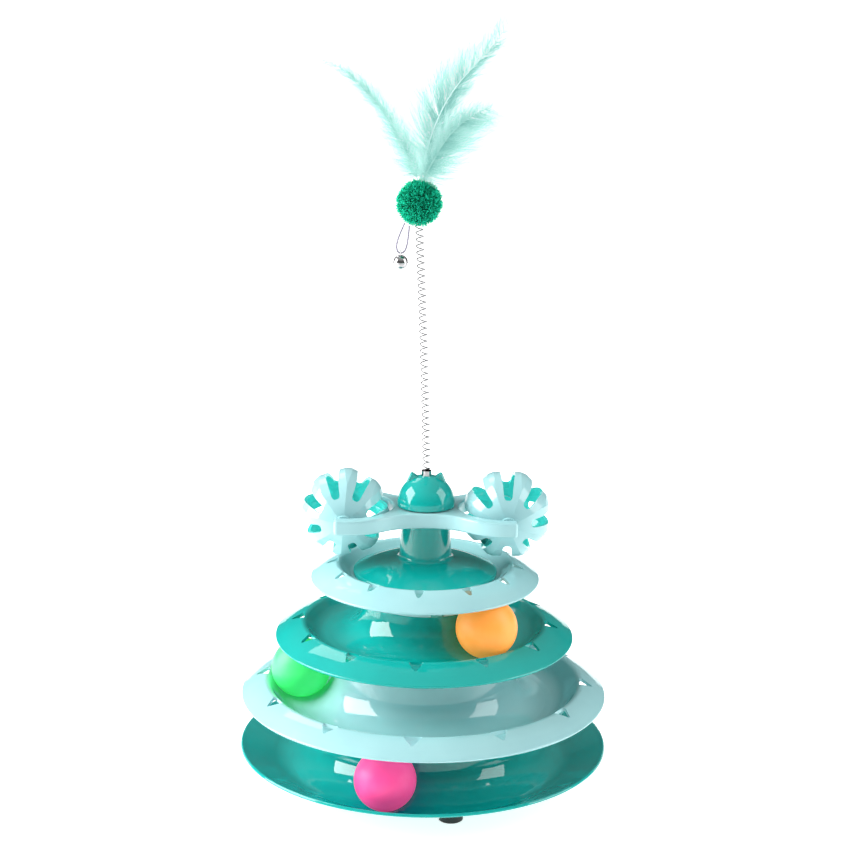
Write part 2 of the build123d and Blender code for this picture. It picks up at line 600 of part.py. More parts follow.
def spring():
    """Coil of round wire with a short upright leg at each end."""
    half_turns = [coil_point(k / 2) for k in range(2 * SPRING_TURNS + 1)]
    up = Vector(0, 0, 1)
    foot, head = half_turns[0][0], half_turns[-1][0]
    leg = up * SPRING_WIRE
    joints = [(foot, up), coil_point(1 / 4), *half_turns[1:-1], coil_point(SPRING_TURNS - 1 / 4), (head, up)]
    edges = [Edge.make_line(foot - leg, foot)]
    for (a, a_way), (b, b_way) in zip(joints, joints[1:]):
        edges += biarc(a, a_way, b, b_way)
    edges.append(Edge.make_line(head, head + leg))
    path = Wire(edges)
    body = sweep(Plane(foot - leg, z_dir=up) * Circle(SPRING_WIRE / 2), path=path)
    report_wire("spring", body, path, edges)
    return body


def report_wire(name, body, path, edges):
    """Print how well the swept wire keeps its section, its tightest bend and its least gap to itself."""
    section = pi * SPRING_WIRE**2 / 4
    bends = [edge.radius for edge in edges if edge.geom_type == GeomType.CIRCLE]
    steps = 24 * SPRING_TURNS
    points = [path @ (k / steps) for k in range(steps + 1)]
    away = [(points[a] - points[b]).length for a in range(0, steps, 6) for b in range(a + 14, min(a + 60, steps))]
    print(name, "volume over section times length", round(body.volume / (section * path.length), 4))
    print(name, "tightest bend", round(min(bends), 2), "least gap to itself", round(min(away) - SPRING_WIRE, 2))


def pompom():
    """Soft ball on the spring's head, with a hole for the spring and one for the quills."""
    body = Pos(POMPOM_X, 0, POMPOM_Z) * Sphere(POMPOM_R)
    grip_z = SPRING_TOP_Z + LOOSE_GAP
    body -= Pos(POMPOM_X, 0, 0) * disc(SPRING_D / 2 + LOOSE_GAP, POMPOM_Z - POMPOM_R - CUT, grip_z)
    return body - Pos(POMPOM_X, 0, 0) * disc(SOCKET_R, SOCKET_Z, POMPOM_Z + POMPOM_R + CUT)


def feather(step, tip_x, tip_up, bow, wide):
    """Quill with a thin leaf-shaped vane, bowed outward; its foot stands in the pompom."""
    foot = Vector(POMPOM_X, 0, SOCKET_Z + LOOSE_GAP)
    tip = Vector(tip_x, 0, POMPOM_Z + tip_up)
    chord = tip - foot
    outward = Vector(-chord.Z, 0, chord.X).normalized() * (1 if tip_x < POMPOM_X else -1)
    middle = foot + chord * 0.5 - outward * bow
    spine = Edge.make_three_point_arc(foot, middle, tip)
    start = spine @ VANE_START_SHARE
    centre = spine @ ((1 + VANE_START_SHARE) / 2)
    across = (tip - start).normalized().cross(Vector(0, 1, 0)) * (wide / 2)
    sides = [Edge.make_three_point_arc(start, centre + across, tip)]
    sides.append(Edge.make_three_point_arc(tip, centre - across, start))
    vane = extrude(make_face(sides), VANE_T / 2, both=True)
    quill_path = spine.trim(0, (1 + VANE_START_SHARE) / 2)
    quill = sweep(Plane(foot, z_dir=quill_path % 0) * Circle(QUILL_R), path=quill_path)
    return Pos(0, step * QUILL_STEP, 0) * (vane + quill)


def bell_cord():
    """Loop of elastic cord from the pompom down through the bell's eye and back."""
    low_z = POMPOM_Z - CORD_LOW_DOWN
    wide_z = POMPOM_Z - CORD_WIDE_DOWN
    points = [(CORD_TOP_OUT, cord_top_z(CORD_TOP_OUT)), (CORD_WIDE_OUT, wide_z)]
    points += [(BELL_OUT + CORD_FOLD_HALF, low_z), (BELL_OUT - CORD_FOLD_HALF, low_z)]
    points += [(CORD_WIDE_IN, wide_z), (CORD_TOP_IN, cord_top_z(CORD_TOP_IN))]
    bends = [CORD_ROUND, CORD_FOLD_ROUND, CORD_FOLD_ROUND, CORD_ROUND]
    path = FilletPolyline(*[(POMPOM_X - x, CORD_Y, z) for x, z in points], radius=bends)
    print("bell cord bends", bends, "length", round(path.length, 1))
    return sweep(Plane(path @ 0, z_dir=path % 0) * Circle(CORD_D / 2), path=path)


def cord_top_z(out):
    """Height just under the pompom at a distance to the left of its middle."""
    reach = POMPOM_R + LOOSE_GAP + CORD_D / 2
    return POMPOM_Z - sqrt(reach**2 - out**2 - CORD_Y**2)


def hang_bell_place():
    """Place of the small bell, with the cord's fold through the middle of its eye."""
    eye_z = HANG_BELL_R * (1 + BELL_EYE_SHARE - BELL_EYE_WIRE_SHARE)
    return Pos(POMPOM_X - BELL_OUT, CORD_Y, POMPOM_Z - CORD_LOW_DOWN - eye_z)


def track_ball(track_r, floor_z, at):
    """Hollow ball on the floor of its track."""
    ball = Sphere(BALL_R) - Sphere(BALL_R - BALL_WALL)
    return Rot(Z=at) * Pos(track_r, 0, floor_z + BALL_R) * ball


nodes = {"base_track": base_track(), "second_track": second_track(), "third_track": third_track()}
for number, place in enumerate(foot_places(), 1):
    nodes[f"rubber_foot_{number}"] = rubber_foot(place)
nodes["top_plate"] = top_plate()
nodes["pedestal"] = pedestal()
nodes["spinner_arm"] = spinner_arm()
for side, x, turn, at in (
    ("left", -FORK_X, CAGE_LEFT_TURN, CAGE_BELL_LEFT_AT),
    ("right", FORK_X, CAGE_RIGHT_TURN, CAGE_BELL_RIGHT_AT),
):
    nodes[f"cage_{side}_half_a"], nodes[f"cage_{side}_half_b"] = cage_halves(x, turn)
    nodes[f"cage_bell_{side}"] = cage_bell_place(x, at) * jingle_bell(CAGE_BELL_R)
    nodes[f"cage_pellet_{side}"] = cage_bell_place(x, at) * pellet(CAGE_BELL_R)
nodes["hub_cap"] = hub_cap()
nodes["hub_screw"] = hub_screw()
nodes["spring_ferrule"] = spring_ferrule()
nodes["spring"] = spring()
nodes["pompom"] = pompom()
nodes["feather_left"] = feather(0, LEFT_TIP_X, LEFT_TIP_UP, LEFT_BOW, LEFT_WIDE)
nodes["feather_tall"] = feather(1, TALL_TIP_X, TALL_TIP_UP, TALL_BOW, TALL_WIDE)
nodes["feather_short"] = feather(-1, SHORT_TIP_X, SHORT_TIP_UP, SHORT_BOW, SHORT_WIDE)
nodes["bell_cord"] = bell_cord()
nodes["hanging_bell"] = hang_bell_place() * jingle_bell(HANG_BELL_R)
nodes["hanging_pellet"] = hang_bell_place() * pellet(HANG_BELL_R)
nodes["ball_pink"] = track_ball(BASE_TRACK_R, BASE_FLOOR_Z, PINK_AT)
nodes["ball_green"] = track_ball(TIER_2_TRACK_R, TIER_2_FLOOR_Z, GREEN_AT)
nodes["ball_orange"] = track_ball(TIER_3_TRACK_R, TIER_3_FLOOR_Z, ORANGE_AT)

os.makedirs("parts", exist_ok=True)
for name, solid in nodes.items():
    export_step(solid, f"parts/{name}.step")
    box = solid.bounding_box()
    print(f"{name:18s} solids {len(solid.solids())} volume {solid.volume:10.1f} low {box.min.Z:7.2f} high {box.max.Z:7.2f}")
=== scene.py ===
import math

import bpy
from mathutils import Matrix, Vector


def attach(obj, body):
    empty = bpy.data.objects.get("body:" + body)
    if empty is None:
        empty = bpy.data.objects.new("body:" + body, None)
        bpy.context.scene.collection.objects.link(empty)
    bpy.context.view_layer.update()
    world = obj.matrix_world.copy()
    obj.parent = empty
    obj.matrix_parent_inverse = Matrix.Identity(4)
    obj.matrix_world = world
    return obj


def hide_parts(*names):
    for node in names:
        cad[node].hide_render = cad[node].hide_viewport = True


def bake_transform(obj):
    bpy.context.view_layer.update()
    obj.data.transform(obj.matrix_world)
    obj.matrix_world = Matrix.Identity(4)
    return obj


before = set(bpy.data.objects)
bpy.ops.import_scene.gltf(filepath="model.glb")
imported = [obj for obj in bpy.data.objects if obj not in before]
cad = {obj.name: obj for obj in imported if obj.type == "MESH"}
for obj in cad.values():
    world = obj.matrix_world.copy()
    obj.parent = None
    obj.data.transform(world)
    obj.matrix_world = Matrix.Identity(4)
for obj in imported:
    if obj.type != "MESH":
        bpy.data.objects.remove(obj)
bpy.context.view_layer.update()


# Base track. The widest dish of the stack, moulded in glossy teal plastic, with an upturned rim
# and a hollow column in the middle. The pink ball runs round its floor, and its skin shows the
# faint flow clouds of the moulding, orange peel, and rub lines round the column.
def feed(tree, node, inputs):
    """Set inputs of a node, each to a value or to the socket that feeds it."""
    for name, value in inputs.items():
        if isinstance(value, bpy.types.NodeSocket):
            tree.links.new(value, node.inputs[name])
        else:
            node.inputs[name].default_value = value


def add_node(tree, kind, inputs=None, **settings):
    """Add a node to a tree, with its settings and its inputs."""
    node = tree.nodes.new(kind)
    for name, value in settings.items():
        setattr(node, name, value)
    feed(tree, node, inputs or {})
    return node


def new_finish(name):
    """A material with its node tree, its shader and the object coordinates."""
    material = bpy.data.materials.new(name)
    material.use_nodes = True
    tree = material.node_tree
    place = add_node(tree, "ShaderNodeTexCoord").outputs["Object"]
    return material, tree, tree.nodes["Principled BSDF"], place


def between(tree, value, from_low, from_high, to_low, to_high):
    """A value moved from one range to another, and kept inside it."""
    ranges = {"From Min": from_low, "From Max": from_high, "To Min": to_low, "To Max": to_high}
    return add_node(tree, "ShaderNodeMapRange", {"Value": value, **ranges}).outputs["Result"]


def share(tree, value, at_none, at_full):
    """How far a value has come from one place to another, from 0 to 1."""
    return between(tree, value, at_none, at_full, 0.0, 1.0)


def graded(tree, part, at_none, at_full):
    """A value that goes from one to another with a share from 0 to 1."""
    return between(tree, part, 0.0, 1.0, at_none, at_full)


def two_tone(tree, part, colour, other):
    """Colour that goes from one to another with a share; each is three values or a socket."""
    inputs = {0: part}
    for place, tone in ((6, colour), (7, other)):
        inputs[place] = tone if isinstance(tone, bpy.types.NodeSocket) else (*tone, 1.0)
    return add_node(tree, "ShaderNodeMix", inputs, data_type="RGBA").outputs[2]


def vector_maths(tree, operation, first, second=None, scale=None):
    """One sum of vectors in a tree; a length, distance or dot product comes out as a value."""
    inputs = {0: first}
    if second is not None:
        inputs[1] = second
    if scale is not None:
        inputs["Scale"] = scale
    sum_node = add_node(tree, "ShaderNodeVectorMath", inputs, operation=operation)
    return sum_node.outputs["Value" if operation in ("LENGTH", "DISTANCE", "DOT_PRODUCT") else "Vector"]


def cloud(tree, place, per_metre, detail=3.0):
    """Noise from 0 to 1, with so many clouds per metre."""
    noise = add_node(tree, "ShaderNodeTexNoise", {"Vector": place, "Scale": per_metre, "Detail": detail})
    return noise.outputs["Fac"]


def relief(tree, shader, height, strength, depth):
    """Bump of the given depth in metres on a shader."""
    bump = add_node(tree, "ShaderNodeBump", {"Height": height, "Strength": strength, "Distance": depth})
    tree.links.new(bump.outputs["Normal"], shader.inputs["Normal"])


def moulded_plastic(name, colours, gloss):
    """Glossy moulding with flow clouds, orange peel and rub lines round the axis of the stack."""
    material, tree, shader, place = new_finish(name)
    flow = share(tree, cloud(tree, place, per_metre=24.0), 0.35, 0.65)
    axes = add_node(tree, "ShaderNodeSeparateXYZ", {"Vector": place}).outputs
    flat = add_node(tree, "ShaderNodeCombineXYZ", {"X": axes["X"], "Y": axes["Y"]}).outputs["Vector"]
    radius = vector_maths(tree, "LENGTH", flat)
    ring = add_node(tree, "ShaderNodeCombineXYZ", {"X": radius, "Y": axes["Z"]}).outputs["Vector"]
    rub = cloud(tree, ring, per_metre=700.0, detail=2.0)
    feed(tree, shader, {
        "Base Color": two_tone(tree, flow, *colours),
        "Roughness": between(tree, rub, 0.4, 0.75, *gloss),
        "IOR": 1.58,
    })
    relief(tree, shader, cloud(tree, place, per_metre=260.0, detail=2.0), strength=0.03, depth=0.0002)
    return material


def dress(material, *names):
    """Give the named solids a material."""
    for name in names:
        for place in cad[name].material_slots:
            place.material = material


teal_colours = (0.002, 0.39, 0.35), (0.003, 0.42, 0.375)
teal_plastic = moulded_plastic("teal_plastic", teal_colours, gloss=(0.025, 0.06))
dress(teal_plastic, "base_track")


# Rubber feet. Four black rubber cups pushed on the stubs under the base, with a matt, slightly
# dusty skin, so that the toy does not slide on a hard floor.
black_rubber, rubber_tree, rubber_shader, rubber_place = new_finish("black_rubber")
rubber_dust = share(rubber_tree, cloud(rubber_tree, rubber_place, per_metre=160.0), 0.45, 0.75)
feed(rubber_tree, rubber_shader, {
    "Base Color": two_tone(rubber_tree, rubber_dust, (0.008, 0.008, 0.009), (0.022, 0.022, 0.023)),
    "Roughness": graded(rubber_tree, rubber_dust, 0.42, 0.62),
})
rubber_grain = cloud(rubber_tree, rubber_place, per_metre=1500.0)
relief(rubber_tree, rubber_shader, rubber_grain, strength=0.3, depth=0.0001)
dress(black_rubber, "rubber_foot_1", "rubber_foot_2", "rubber_foot_3", "rubber_foot_4")


# Second track. Light aqua moulding with a drooping flange, twelve triangular windows and a
# groove for the green ball. Its notched skirt stands on the lugs of the base's column.
aqua_colours = (0.36, 0.66, 0.69), (0.39, 0.70, 0.72)
aqua_plastic = moulded_plastic("aqua_plastic", aqua_colours, gloss=(0.05, 0.09))
dress(aqua_plastic, "second_track")


# Third track. The same kind of moulding in teal, smaller and with a groove for the orange ball.
# It is keyed to the second track by the lugs on that one's column.
dress(teal_plastic, "third_track")


# Top plate. Aqua roof over the orange ball, with windows in its flange and a ring on its deck
# that the dome of the pedestal is pushed over.
dress(aqua_plastic, "top_plate")


# Pedestal. Shallow teal dome and hollow post in one moulding; its spindle carries the arm, and
# a pan head screw inside it draws the hub cap down.
dress(teal_plastic, "pedestal")


# Track balls. Hollow blow-moulded balls in fluorescent dyed plastic, dull like table tennis balls,
# with a fine stipple, a few rub marks and a glow that is partly painted light; one lies loose in each track.
def ball_plastic(name, colour, rub_colour):
    """Dull fluorescent plastic with a fine stipple, soft rub marks and a glow in its own colour, partly painted
    light.
    """
    material, tree, shader, place = new_finish(name)
    rub = share(tree, cloud(tree, place, per_metre=70.0, detail=5.0), 0.5, 0.72)
    feed(tree, shader, {
        "Base Color": two_tone(tree, rub, colour, rub_colour),
        "Roughness": graded(tree, rub, 0.42, 0.55),
        "Subsurface Weight": 0.12,
        "Subsurface Radius": (1.0, 0.6, 0.6),
        "Subsurface Scale": 0.003,
        # The glow in the ball's own colour stands for the fluorescent dye, and is also painted light that lifts
        # the shade on the ball.
        "Emission Color": (*colour, 1.0),
        "Emission Strength": 0.4,
    })
    relief(tree, shader, cloud(tree, place, per_metre=1800.0, detail=2.0), strength=0.12, depth=0.0001)
    return material


dress(ball_plastic("pink_plastic", (0.92, 0.072, 0.30), (0.94, 0.10, 0.34)), "ball_pink")
dress(ball_plastic("green_plastic", (0.06, 0.88, 0.20), (0.10, 0.90, 0.25)), "ball_green")
dress(ball_plastic("orange_plastic", (0.90, 0.33, 0.050), (0.92, 0.37, 0.075)), "ball_orange")


# Spinner arm. Double fork in aqua plastic that turns on the spindle; two stub pins in each fork
# carry a cage ball.
dress(aqua_plastic, "spinner_arm")


# Cage balls. Two aqua half shells each, slotted between eight ridges and joined on a seam. The skin
# that faces their middle gets a painted deeper tint and glow, for light that bounces inside.
def cage_plastic(name, middle):
    """Aqua plastic with a painted deeper tint and glow where it faces the given middle of the ball."""
    material = moulded_plastic(name, aqua_colours, gloss=(0.06, 0.11))
    tree = material.node_tree
    shader = tree.nodes["Principled BSDF"]
    outer_tint = shader.inputs["Base Color"].links[0].from_socket
    spots = add_node(tree, "ShaderNodeTexCoord").outputs
    from_middle = vector_maths(tree, "SUBTRACT", spots["Object"], middle)
    outward = vector_maths(tree, "DOT_PRODUCT", from_middle, spots["Normal"])
    outside = share(tree, outward, -0.004, 0.006)
    inner_flow = cloud(tree, spots["Object"], per_metre=90.0)
    painted_bounce_tint = two_tone(tree, inner_flow, (0.04, 0.56, 0.52), (0.06, 0.64, 0.59))
    # Painted light: the deeper tint and the glow inside stand in for light bounced inside the shell.
    feed(tree, shader, {
        "Base Color": two_tone(tree, outside, painted_bounce_tint, outer_tint),
        "Emission Color": painted_bounce_tint,
        "Emission Strength": graded(tree, outside, 0.3, 0.0),
    })
    return material


cage_out, cage_up = 0.054, 0.1853
for name, side in (("left", -1.0), ("right", 1.0)):
    cage_aqua = cage_plastic("cage_plastic_" + name, (side * cage_out, 0.0, cage_up))
    dress(cage_aqua, "cage_" + name + "_half_a", "cage_" + name + "_half_b")


# Jingle bells in the cages. Pressed steel balls with a bright nickel coat, finely scratched, each
# with a loose steel pellet inside.
def bright_metal(name, colours, gloss, scratches):
    """Metal coat with cloudy dull places and so many fine scratches per metre."""
    material, tree, shader, place = new_finish(name)
    dull = share(tree, cloud(tree, place, per_metre=380.0, detail=4.0), 0.4, 0.7)
    feed(tree, shader, {
        "Base Color": two_tone(tree, dull, *colours),
        "Roughness": graded(tree, dull, *gloss),
        "Metallic": 1.0,
    })
    drawn = add_node(tree, "ShaderNodeMapping", {"Vector": place, "Scale": (0.15, 1.0, 1.0)})
    relief(tree, shader, cloud(tree, drawn.outputs["Vector"], scratches), strength=0.06, depth=0.00005)
    return material


nickel_colours = (0.54, 0.54, 0.55), (0.42, 0.41, 0.41)
bell_nickel = bright_metal("bell_nickel", nickel_colours, gloss=(0.05, 0.12), scratches=1600.0)
dress(bell_nickel, "cage_bell_left", "cage_bell_right", "hanging_bell")
steel_colours = (0.34, 0.34, 0.35), (0.25, 0.25, 0.25)
steel = bright_metal("steel", steel_colours, gloss=(0.20, 0.32), scratches=3000.0)
dress(steel, "cage_pellet_left", "cage_pellet_right", "hanging_pellet")


# Hub cap, screw and ferrule. Domed teal knob with two ears, held down by a steel screw from
# below; a nickel ferrule in its top holds the foot of the spring.
dress(teal_plastic, "hub_cap")
dress(steel, "hub_screw")
dress(bell_nickel, "spring_ferrule")


# Coil spring. Forty open turns of hard drawn steel wire, pushed into the ferrule below and into
# the pompom above; under the pompom's weight it leans a little to the left.
def new_tree(name, **sizes):
    """A geometry tree with one named input for each size, its inputs and its output node."""
    tree = bpy.data.node_groups.new(name, "GeometryNodeTree")
    tree.interface.new_socket("Geometry", in_out="INPUT", socket_type="NodeSocketGeometry")
    for size, value in sizes.items():
        kind = "NodeSocketInt" if isinstance(value, int) else "NodeSocketFloat"
        tree.interface.new_socket(size, in_out="INPUT", socket_type=kind).default_value = value
    tree.interface.new_socket("Geometry", in_out="OUTPUT", socket_type="NodeSocketGeometry")
    return tree, tree.nodes.new("NodeGroupInput").outputs, tree.nodes.new("NodeGroupOutput")


def maths(tree, operation, first, second=0.0, clamp=False):
    """One sum in a tree."""
    sum_node = add_node(tree, "ShaderNodeMath", {0: first, 1: second}, operation=operation, use_clamp=clamp)
    return sum_node.outputs["Value"]


def grown(name, tree, sizes, start=None):
    """Run a tree and keep what it makes as a plain mesh with no modifier."""
    if start is None:
        start = bpy.data.objects.new(name + "_start", bpy.data.meshes.new(name + "_start"))
    bpy.context.scene.collection.objects.link(start)
    growth = start.modifiers.new("growth", "NODES")
    growth.node_group = tree
    for socket in tree.interface.items_tree:
        if socket.in_out == "INPUT" and socket.name in sizes:
            growth[socket.identifier] = sizes[socket.name]
    graph = bpy.context.evaluated_depsgraph_get()
    evaluated = start.evaluated_get(graph)
    mesh = bpy.data.meshes.new_from_object(evaluated, preserve_all_data_layers=True, depsgraph=graph)
    start.modifiers.remove(growth)
    bpy.data.objects.remove(start)
    mesh.name = name
    piece = bpy.data.objects.new(name, mesh)
    bpy.context.scene.collection.objects.link(piece)
    return piece


def end_tree(tree, out, geometry, material):
    """Close a tree: real geometry, smooth, with its material."""
    real = add_node(tree, "GeometryNodeRealizeInstances", {"Geometry": geometry}).outputs["Geometry"]
    smooth = add_node(tree, "GeometryNodeSetShadeSmooth", {"Geometry": real}).outputs["Geometry"]
    dressed = add_node(tree, "GeometryNodeSetMaterial", {"Geometry": smooth, "Material": material})
    tree.links.new(dressed.outputs["Geometry"], out.inputs["Geometry"])


spring_sizes = {
    "Turns": 40.0, "Coil radius": 0.0024, "Wire radius": 0.00035, "Foot": 0.2073, "Height": 0.1726,
    "Free from": 0.2146, "Free length": 0.166, "Lean": 0.007, "Lean power": 1.3,
}
spring_tree, given, spring_out = new_tree("spring_winding", **spring_sizes)
winding = add_node(spring_tree, "GeometryNodeCurveSpiral", {
    "Resolution": 28, "Rotations": given["Turns"], "Start Radius": given["Coil radius"],
    "End Radius": given["Coil radius"], "Height": given["Height"],
}).outputs["Curve"]
wound_place = spring_tree.nodes.new("GeometryNodeInputPosition").outputs["Position"]
wound_axes = add_node(spring_tree, "ShaderNodeSeparateXYZ", {"Vector": wound_place}).outputs
height = maths(spring_tree, "ADD", wound_axes["Z"], given["Foot"])
free = maths(spring_tree, "SUBTRACT", height, given["Free from"])
free_share = maths(spring_tree, "DIVIDE", free, given["Free length"], clamp=True)
bend = maths(spring_tree, "POWER", free_share, given["Lean power"])
lean = maths(spring_tree, "MULTIPLY", bend, given["Lean"])
to_left = maths(spring_tree, "MULTIPLY", lean, -1.0)
aside = add_node(spring_tree, "ShaderNodeCombineXYZ", {"X": to_left, "Z": given["Foot"]}).outputs["Vector"]
leaning = add_node(spring_tree, "GeometryNodeSetPosition", {"Geometry": winding, "Offset": aside})
wire = add_node(spring_tree, "GeometryNodeCurvePrimitiveCircle", {
    "Resolution": 8, "Radius": given["Wire radius"],
})
coil = add_node(spring_tree, "GeometryNodeCurveToMesh", {
    "Curve": leaning.outputs["Geometry"], "Profile Curve": wire.outputs["Curve"], "Fill Caps": True,
})
spring_colours = (0.20, 0.20, 0.21), (0.13, 0.13, 0.13)
spring_steel = bright_metal("spring_steel", spring_colours, gloss=(0.22, 0.36), scratches=3000.0)
end_tree(spring_tree, spring_out, coil.outputs["Mesh"], spring_steel)
spring_coil = grown("spring_coil", spring_tree, spring_sizes)
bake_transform(spring_coil)
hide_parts("spring")


# Pompom. Ball of green acrylic yarn with a short cut pile, tied round the head of the spring;
# the pile is painted darker towards its root, as shade deep in the pile, and no two strands lie alike.
def kept_value(tree, name):
    """A value that is stored on a mesh under a name, for its material."""
    return add_node(tree, "ShaderNodeAttribute", attribute_name=name).outputs["Fac"]


def chance(tree, low, high, seed, lock=None):
    """A random number for each strand, or one for each lock where its number is given."""
    inputs = {2: low, 3: high, "Seed": seed}
    if lock is not None:
        inputs["ID"] = lock
    return add_node(tree, "FunctionNodeRandomValue", inputs, data_type="FLOAT").outputs[1]


def marked(tree, geometry, name, value, domain):
    """Geometry with a named value stored on it."""
    inputs = {"Geometry": geometry, "Name": name, "Value": value}
    store = add_node(tree, "GeometryNodeStoreNamedAttribute", inputs, data_type="FLOAT", domain=domain)
    return store.outputs["Geometry"]


def swirled(tree, geometry, place, per_metre, detail, amount):
    """Geometry moved about by so many eddies per metre."""
    inputs = {"Vector": place, "Scale": per_metre, "Detail": detail}
    eddy = add_node(tree, "ShaderNodeTexNoise", inputs).outputs["Color"]
    swirl = vector_maths(tree, "SUBTRACT", eddy, (0.5, 0.5, 0.5))
    drift = vector_maths(tree, "SCALE", swirl, scale=amount)
    moved = add_node(tree, "GeometryNodeSetPosition", {"Geometry": geometry, "Offset": drift})
    return moved.outputs["Geometry"]


def joined(tree, *parts):
    """Several geometries in one."""
    join = tree.nodes.new("GeometryNodeJoinGeometry")
    for part in parts:
        tree.links.new(part, join.inputs["Geometry"])
    return join.outputs["Geometry"]


pompom_yarn, yarn_tree, yarn_shader, yarn_place = new_finish("pompom_yarn")
pompom_middle = Vector((-0.007, 0.0, 0.3931))
# Painted shade: the yarn darkens towards the core, where the pile shades itself.
painted_root_shade = share(yarn_tree, vector_maths(yarn_tree, "DISTANCE", yarn_place, pompom_middle), 0.0122, 0.0156)
yarn_dark = two_tone(yarn_tree, painted_root_shade, (0.0, 0.17, 0.095), (0.004, 0.66, 0.385))
yarn_pale = two_tone(yarn_tree, painted_root_shade, (0.0, 0.26, 0.150), (0.012, 0.88, 0.54))
feed(yarn_tree, yarn_shader, {
    "Base Color": two_tone(yarn_tree, kept_value(yarn_tree, "shade"), yarn_dark, yarn_pale),
    "Roughness": 0.75,
    "Specular IOR Level": 0.15,
})

pile_sizes = {
    "Core radius": 0.0124, "Pile length": 0.0031, "Strand radius": 0.00042, "Tip radius": 0.00016,
    "Strands per area": 1700000.0, "Spread": 0.8, "Curl": 0.0048, "Seed": 7,
}
pile_tree, given, pile_out = new_tree("pompom_pile", **pile_sizes)
core = add_node(pile_tree, "GeometryNodeMeshIcoSphere", {
    "Radius": given["Core radius"], "Subdivisions": 5,
}).outputs["Mesh"]
roots = add_node(pile_tree, "GeometryNodeDistributePointsOnFaces", {
    "Mesh": core, "Density": given["Strands per area"], "Seed": given["Seed"],
}).outputs
strand = add_node(pile_tree, "GeometryNodeMeshCone", {
    "Vertices": 3, "Side Segments": 3, "Fill Segments": 1, "Radius Top": given["Tip radius"],
    "Radius Bottom": given["Strand radius"], "Depth": given["Pile length"],
})
wander = add_node(pile_tree, "FunctionNodeRandomValue", {
    "Min": (-1.0, -1.0, -1.0), "Max": (1.0, 1.0, 1.0), "Seed": 11,
}, data_type="FLOAT_VECTOR")
wandering = vector_maths(pile_tree, "SCALE", wander.outputs["Value"], scale=given["Spread"])
heading = vector_maths(pile_tree, "ADD", roots["Normal"], wandering)
turned = add_node(pile_tree, "FunctionNodeAlignRotationToVector", {"Vector": heading}, axis="Z")
long = chance(pile_tree, 0.72, 1.08, seed=23)
stretch = add_node(pile_tree, "ShaderNodeCombineXYZ", {"X": 1.0, "Y": 1.0, "Z": long})
pile = add_node(pile_tree, "GeometryNodeInstanceOnPoints", {
    "Points": roots["Points"], "Instance": strand.outputs["Mesh"],
    "Rotation": turned.outputs["Rotation"], "Scale": stretch.outputs["Vector"],
}).outputs["Instances"]
shaded = marked(pile_tree, pile, "shade", chance(pile_tree, 0.0, 1.0, seed=31), "INSTANCE")
loose = add_node(pile_tree, "GeometryNodeRealizeInstances", {"Geometry": shaded}).outputs["Geometry"]
where = pile_tree.nodes.new("GeometryNodeInputPosition").outputs["Position"]
above_core = maths(pile_tree, "SUBTRACT", vector_maths(pile_tree, "LENGTH", where), given["Core radius"])
freed = maths(pile_tree, "DIVIDE", above_core, given["Pile length"], clamp=True)
curl = maths(pile_tree, "MULTIPLY", freed, given["Curl"])
curled = swirled(pile_tree, loose, where, per_metre=340.0, detail=1.0, amount=curl)
seated = add_node(pile_tree, "GeometryNodeTransform", {
    "Geometry": joined(pile_tree, core, curled), "Translation": pompom_middle,
})
end_tree(pile_tree, pile_out, seated.outputs["Geometry"], pompom_yarn)
pompom_pile = grown("pompom_pile", pile_tree, pile_sizes)
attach(pompom_pile, "pompom_head")
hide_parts("pompom")


# Feathers. Three mint dyed marabou feathers with their quills tied into the pompom. The fine barbs
# leave the quill in loose locks that lie forward and meet at their tips, with down round the foot.
feather_mint, mint_tree, mint_shader, mint_place = new_finish("feather_mint")
mint_along = kept_value(mint_tree, "along")
mint_deep = two_tone(mint_tree, mint_along, (0.16, 0.54, 0.49), (0.48, 0.80, 0.76))
mint_pale = two_tone(mint_tree, mint_along, (0.56, 0.86, 0.81), (0.74, 0.93, 0.90))
mint_tint = two_tone(mint_tree, kept_value(mint_tree, "shade"), mint_deep, mint_pale)
feed(mint_tree, mint_shader, {
    "Base Color": mint_tint,
    "Emission Color": mint_tint,
    # The glow in the mint tint is painted light, for light shining through the thin barbs.
    "Emission Strength": 0.22,
    "Roughness": 0.7,
    "Specular IOR Level": 0.2,
})

plume_sizes = {
    "Quill radius": 0.0005, "Barb radius": 0.00005, "Barbs": 1500, "Locks": 30.0,
    "Left reach": 0.02, "Right reach": 0.012, "Left fan": 0.0, "Right fan": 0.0,
    "Left tone": 1.0, "Right tone": 1.0, "Bare foot": 0.05, "Thin from": 0.7,
    "Looseness": 0.5, "Quill tone": 0.6, "Seed": 1,
}
plume_tree, given, plume_out = new_tree("feather_plume", **plume_sizes)


def plume_sum(operation):
    """One kind of sum of two values in the feathers' tree."""
    return lambda first, second: maths(plume_tree, operation, first, second)


def along_quill(part, points):
    """A value that follows a curve of shares along the quill."""
    form = add_node(plume_tree, "ShaderNodeFloatCurve", {"Value": part})
    line = form.mapping.curves[0]
    line.points[0].location, line.points[1].location = points[0], points[-1]
    for point in points[1:-1]:
        line.points.new(*point)
    form.mapping.update()
    return form.outputs["Value"]


def tapered(line, sides, radius, caps):
    """A thin round rod along a line in the feathers' tree."""
    ring = add_node(plume_tree, "GeometryNodeCurvePrimitiveCircle", {"Resolution": sides, "Radius": 1.0})
    return add_node(plume_tree, "GeometryNodeCurveToMesh", {
        "Curve": line, "Profile Curve": ring.outputs["Curve"], "Scale": radius, "Fill Caps": caps,
    }).outputs["Mesh"]


def kept_on_curve(name):
    """A value that is stored under a name in the feathers' tree."""
    stored = add_node(plume_tree, "GeometryNodeInputNamedAttribute", {"Name": name}, data_type="FLOAT")
    return stored.outputs["Attribute"]


